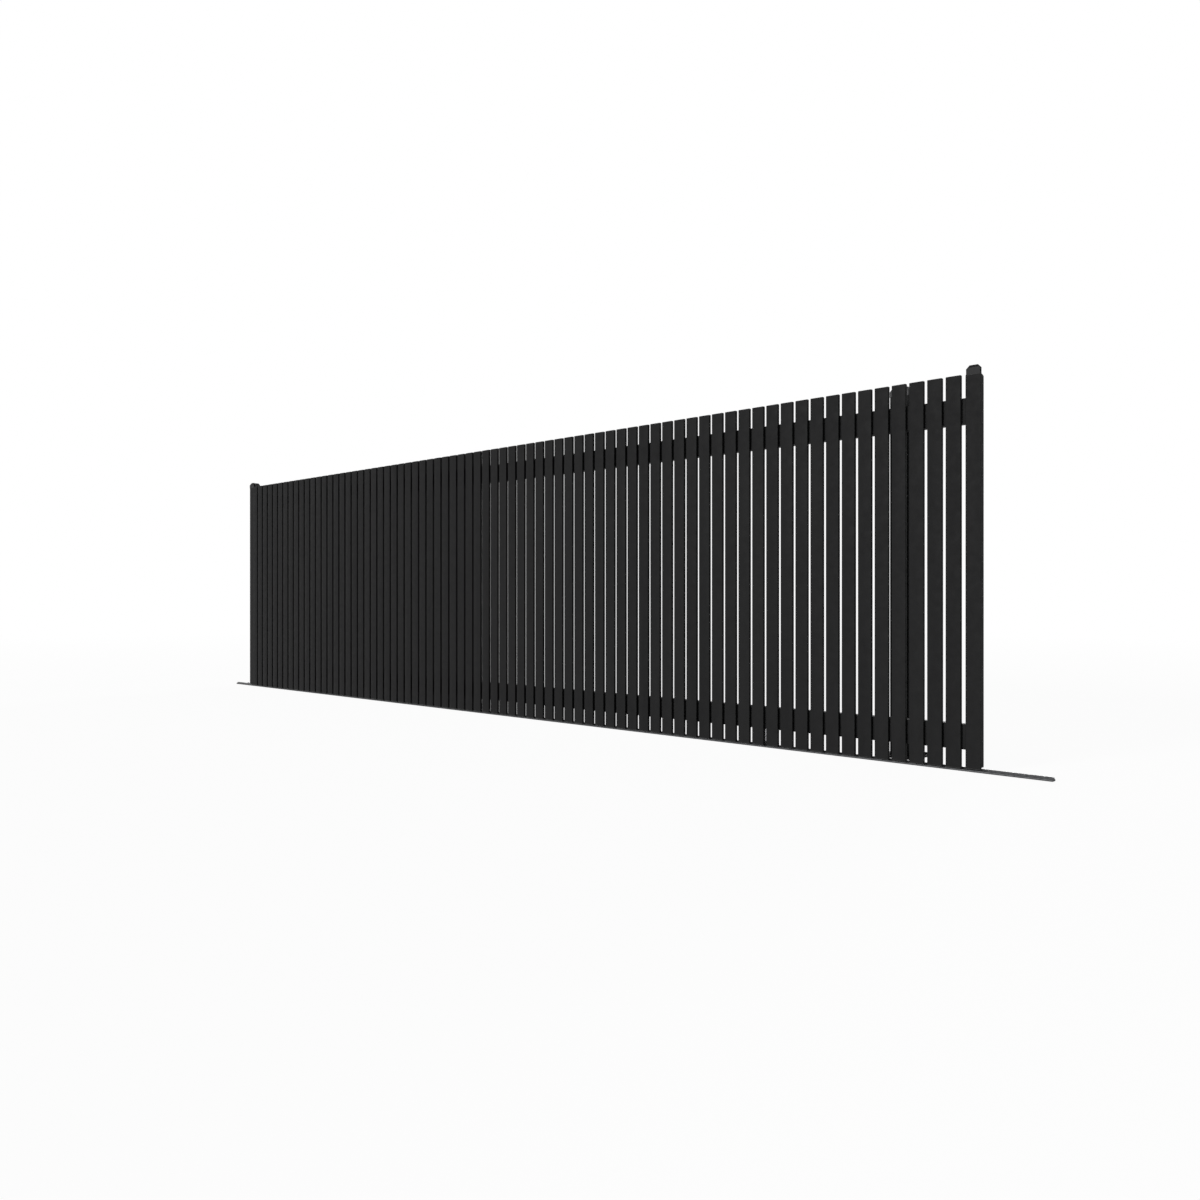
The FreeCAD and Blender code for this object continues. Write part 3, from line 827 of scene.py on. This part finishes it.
plate_paint = powder_coat("stop_plate_paint", PLATE_DARK, PLATE_LIGHT)
for end in ("near", "far"):
    low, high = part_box(f"stop_plate_{end}")
    whole = cut_plate(low.x, high.x, low.z, high.z, STOP_CORNER)
    left = low.x + STOP_SIDE_BEVEL
    right = high.x - STOP_SIDE_BEVEL
    front = cut_plate(left, right, low.z, high.z - STOP_TOP_BEVEL, FRONT_CORNER)
    mesh = bmesh.new()
    loft(mesh, [(front, low.y), (whole, low.y + STOP_BEVEL), (whole, high.y)], "y")
    plate = finish_piece(f"stop_{end}", mesh, "leaf", plate_paint, edge=STOP_EDGE)
    # The bevel faces get the leaf's black coat as painted shade, and only the flat front keeps the grey.
    plate.data.materials.append(leaf_coat)
    for face in plate.data.polygons:
        face.material_index = 0 if face.normal.y < SHADED_BEVEL_FACING else 1
    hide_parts(f"stop_plate_{end}")

    mesh = bmesh.new()
    weld_left = (low.x + STOP_BEAD_ENDS, high.y, low.z)
    weld_right = (high.x - STOP_BEAD_ENDS, high.y, low.z)
    bead(mesh, weld_left, weld_right, STOP_BEAD)
    finish_piece(f"stop_weld_{end}", mesh, "leaf", leaf_coat, crease=WELD_CREASE)


# Guide channel
# An aluminium channel, open below, along the back of the top rail, that slides over the rollers.
# Short welds hold it to the rail every half metre.

CHANNEL_WALL = 0.004
CHANNEL_CORNER = 0.0012
STITCH_STEP = 0.5
STITCH_LENGTH = 0.045
STITCH_BEAD = 0.0024
STITCH_INSET = 0.0005

low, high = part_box("guide_channel")
section = [
    (low.y, low.z), (low.y + CHANNEL_WALL, low.z), (low.y + CHANNEL_WALL, high.z - CHANNEL_WALL),
    (high.y - CHANNEL_WALL, high.z - CHANNEL_WALL), (high.y - CHANNEL_WALL, low.z), (high.y, low.z),
    (high.y, high.z), (low.y, high.z),
]
mesh = bmesh.new()
prism(mesh, rounded(section, CHANNEL_CORNER), "x", low.x, high.x)
channel = finish_piece("guide_channel_extrusion", mesh, "leaf", leaf_coat)
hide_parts("guide_channel")

mesh = bmesh.new()
stitches = int((high.x - low.x) / STITCH_STEP)
first = (low.x + high.x - stitches * STITCH_STEP) / 2
for index in range(stitches + 1):
    middle = first + index * STITCH_STEP
    start = middle - STITCH_LENGTH / 2
    end = middle + STITCH_LENGTH / 2
    for level in (high.z, low.z):
        bead(mesh, (start, low.y + STITCH_INSET, level), (end, low.y + STITCH_INSET, level), STITCH_BEAD)
finish_piece("channel_welds", mesh, "leaf", leaf_coat, crease=WELD_CREASE)


# Wheel carriages
# Steel housings of two tapered cheeks welded under a thicker top plate, and zinc plated.
# They are screwed up into the bottom rail, and each holds a wheel on an axle.

CARRIAGE_WALL = 0.0035
CARRIAGE_TOP = 0.005
CARRIAGE_FOOT = 0.040
CARRIAGE_SHOULDER = 0.020
CARRIAGE_ROUND = 0.001
CARRIAGE_EDGE = 0.0004

for end in ("near", "far"):
    low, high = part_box(f"carriage_{end}")
    middle = (low.x + high.x) / 2
    cheek = [
        (middle - CARRIAGE_FOOT / 2, low.z), (middle + CARRIAGE_FOOT / 2, low.z),
        (high.x, high.z - CARRIAGE_SHOULDER), (high.x, high.z - CARRIAGE_TOP),
        (low.x, high.z - CARRIAGE_TOP), (low.x, high.z - CARRIAGE_SHOULDER),
    ]
    soft = rounded(cheek, CARRIAGE_ROUND)
    mesh = bmesh.new()
    for side in (low.y, high.y - CARRIAGE_WALL):
        prism(mesh, soft, "y", side, side + CARRIAGE_WALL)
    top = rounded(rectangle(low.y, high.y, high.z - CARRIAGE_TOP, high.z), CARRIAGE_ROUND)
    prism(mesh, top, "x", low.x, high.x)
    carriage = finish_piece(f"wheel_carriage_{end}", mesh, "leaf", zinc, edge=CARRIAGE_EDGE)
    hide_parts(f"carriage_{end}")


# Axles
# Turned steel pins through both cheeks and the wheel, all but flush in front to clear the slats.
# A nut on a washer holds each one at the back.

AXLE_RADIUS = 0.008
AXLE_THREAD = 0.006
AXLE_TIP = 0.0048
AXLE_EDGE = 0.001
AXLE_PROUD = 0.0003
AXLE_OVER_NUT = 0.004
AXLE_WASHER_RIM = 0.0115
AXLE_NUT_FLATS = 0.017
AXLE_NUT_HIGH = 0.008

for end in ("near", "far"):
    low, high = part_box(f"axle_{end}")
    centre = ((low.x + high.x) / 2, 0.0, (low.z + high.z) / 2)
    front = low.y - AXLE_PROUD
    washer_back = high.y + WASHER_THICK
    nut_back = washer_back + AXLE_NUT_HIGH
    tip = nut_back + AXLE_OVER_NUT
    pin = [
        (0, front), (AXLE_RADIUS - AXLE_EDGE, front), (AXLE_RADIUS, front + AXLE_EDGE),
        (AXLE_RADIUS, high.y), (AXLE_THREAD, high.y), (AXLE_THREAD, tip - AXLE_EDGE),
        (AXLE_TIP, tip), (0, tip),
    ]
    mesh = bmesh.new()
    lathe(mesh, pin, centre, "y")
    washer(mesh, AXLE_THREAD, AXLE_WASHER_RIM, high.y, washer_back, centre, "y")
    hexagon(mesh, AXLE_NUT_FLATS, centre, washer_back, nut_back, "y")
    axle = finish_piece(f"wheel_axle_{end}", mesh, "leaf", zinc)
    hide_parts(f"axle_{end}")


# Wheels
# Turned steel wheels with a V groove that straddles the ridge of the track.
# A sealed ball bearing sits in each hub, and a thinner web joins the hub to the rim.

WHEEL_TREAD = 0.033
WHEEL_GROOVE_FLOOR = 0.002
WHEEL_FLANGE = 0.004
WHEEL_EDGE = 0.0006
RIM_WIDTH = 0.008
HUB_RADIUS = 0.017
WEB_RECESS = 0.004
WHEEL_BORE = 0.00805
SEAL_INSET = 0.0008
SEAL_RADII = (0.0105, 0.0150)
STEEL_DARK = (0.26, 0.26, 0.265, 1.0)
STEEL_LIGHT = (0.40, 0.40, 0.405, 1.0)
STEEL_ROUGHNESS = (0.28, 0.42)
TURNING_SCALE = 350.0
TURNING_WAVER = 0.6
TURNING_DEPTH = 0.00003


def turned_steel():
    """Bare steel with the fine rings that turning leaves, round the wheel's own axis."""
    material, tree, shader, place = new_finish("turned_steel")
    cloud = noise(tree, place, 90.0)
    tree.links.new(tint(tree, cloud, STEEL_DARK, STEEL_LIGHT), shader.inputs["Base Color"])
    shader.inputs["Metallic"].default_value = 1.0
    tree.links.new(spread(tree, noise(tree, place, 200.0), *STEEL_ROUGHNESS), shader.inputs["Roughness"])
    rings = tree.nodes.new("ShaderNodeTexWave")
    rings.wave_type = "RINGS"
    rings.rings_direction = "Y"
    rings.inputs["Scale"].default_value = TURNING_SCALE
    rings.inputs["Distortion"].default_value = TURNING_WAVER
    tree.links.new(place, rings.inputs["Vector"])
    relief(tree, shader, rings.outputs["Fac"], TURNING_DEPTH, 0.4)
    return material


wheel_steel = turned_steel()
for end in ("near", "far"):
    low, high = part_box(f"wheel_{end}")
    centre = Vector(((low.x + high.x) / 2, (low.y + high.y) / 2, (low.z + high.z) / 2))
    radius = (high.z - low.z) / 2
    half = (high.y - low.y) / 2
    mouth = WHEEL_GROOVE_FLOOR + WHEEL_FLANGE
    face = half - SEAL_INSET
    side = [
        (WHEEL_BORE, half), (SEAL_RADII[0], half), (SEAL_RADII[0], face), (SEAL_RADII[1], face),
        (SEAL_RADII[1], half), (HUB_RADIUS - WHEEL_EDGE, half), (HUB_RADIUS, half - WHEEL_EDGE),
        (HUB_RADIUS, half - WEB_RECESS), (WHEEL_TREAD - RIM_WIDTH, half - WEB_RECESS),
        (WHEEL_TREAD - RIM_WIDTH, half - WHEEL_EDGE), (WHEEL_TREAD - RIM_WIDTH + WHEEL_EDGE, half),
        (radius - WHEEL_EDGE, half), (radius, half - WHEEL_EDGE), (radius, mouth + WHEEL_EDGE),
        (radius - WHEEL_EDGE, mouth), (WHEEL_TREAD, WHEEL_GROOVE_FLOOR),
    ]
    profile = side + [(across, -along) for across, along in reversed(side)]
    mesh = bmesh.new()
    lathe(mesh, profile, (0.0, 0.0, 0.0), "y", 72)
    wheel = finish_piece(
        f"grooved_wheel_{end}", mesh, f"{end}_wheel", wheel_steel, place=centre)
    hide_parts(f"wheel_{end}")


# Floor and light
# A plain white floor that fades into a white surround, under an even sky.
# A broad, low lamp shines on the front of the leaf a little from the left, so its near end is dark.
# A weaker one shines on its back, also a little from the far end.

FLOOR_SIZE = 90.0
FLOOR_PLACE = (-3.0, 0.0, -0.0002)
FLOOR_ROUGHNESS = 0.9
WHITE = (1.0, 1.0, 1.0, 1.0)
FLOOR_WHITE = (0.93, 0.93, 0.93, 1.0)
FLOOR_SHOWN_WHITE = (0.95, 1.0)
FLOOR_FADE = (5.0, 18.0)
SKY_ON_OBJECT = 0.20
LAMP_ANGLE = 16.0
LAMPS = {"front_lamp": (3.0, (74.0, 0.0, -13.0)), "back_lamp": (2.2, (78.0, 0.0, 193.0))}


def shown_rays(tree):
    """One for rays from the camera and for those that metal and glass reflect or pass on."""
    path = tree.nodes.new("ShaderNodeLightPath")
    total = path.outputs["Is Camera Ray"]
    for kind in ("Is Glossy Ray", "Is Transmission Ray"):
        either = tree.nodes.new("ShaderNodeMath")
        either.operation = "MAXIMUM"
        tree.links.new(total, either.inputs[0])
        tree.links.new(path.outputs[kind], either.inputs[1])
        total = either.outputs["Value"]
    return total


floor_white, tree, shader, place = new_finish("floor_white")
shader.inputs["Base Color"].default_value = FLOOR_WHITE
shader.inputs["Roughness"].default_value = FLOOR_ROUGHNESS
shader.inputs["Specular IOR Level"].default_value = 0.0
glow = tree.nodes.new("ShaderNodeEmission")
glow.inputs["Color"].default_value = WHITE
away = tree.nodes.new("ShaderNodeVectorMath")
away.operation = "LENGTH"
tree.links.new(place, away.inputs[0])
share = tree.nodes.new("ShaderNodeMath")
share.operation = "MULTIPLY"
tree.links.new(spread(tree, away.outputs["Value"], *FLOOR_SHOWN_WHITE, *FLOOR_FADE), share.inputs[0])
tree.links.new(shown_rays(tree), share.inputs[1])
blend = tree.nodes.new("ShaderNodeMixShader")
tree.links.new(share.outputs["Value"], blend.inputs["Fac"])
tree.links.new(shader.outputs["BSDF"], blend.inputs[1])
tree.links.new(glow.outputs["Emission"], blend.inputs[2])
tree.links.new(blend.outputs["Shader"], tree.nodes["Material Output"].inputs["Surface"])

reach = FLOOR_SIZE / 2
corners = [(-reach, -reach, 0), (reach, -reach, 0), (reach, reach, 0), (-reach, reach, 0)]
data = bpy.data.meshes.new("floor")
data.from_pydata(corners, [], [(0, 1, 2, 3)])
data.materials.append(floor_white)
floor = bpy.data.objects.new("floor", data)
floor.location = FLOOR_PLACE
bpy.context.scene.collection.objects.link(floor)

world = bpy.data.worlds.new("studio")
world.use_nodes = True
bpy.context.scene.world = world
tree = world.node_tree
sky = tree.nodes["Background"]
sky.inputs["Color"].default_value = WHITE
strength = tree.nodes.new("ShaderNodeMapRange")
strength.inputs["To Min"].default_value = SKY_ON_OBJECT
strength.inputs["To Max"].default_value = 1.0
tree.links.new(shown_rays(tree), strength.inputs["Value"])
tree.links.new(strength.outputs["Result"], sky.inputs["Strength"])

for name, (power, turns) in LAMPS.items():
    lamp = bpy.data.lights.new(name, "SUN")
    lamp.energy = power
    lamp.angle = math.radians(LAMP_ANGLE)
    lamp_stand = bpy.data.objects.new(name, lamp)
    lamp_stand.rotation_euler = tuple(math.radians(turn) for turn in turns)
    bpy.context.scene.collection.objects.link(lamp_stand)

bpy.context.scene.view_settings.view_transform = "Standard"
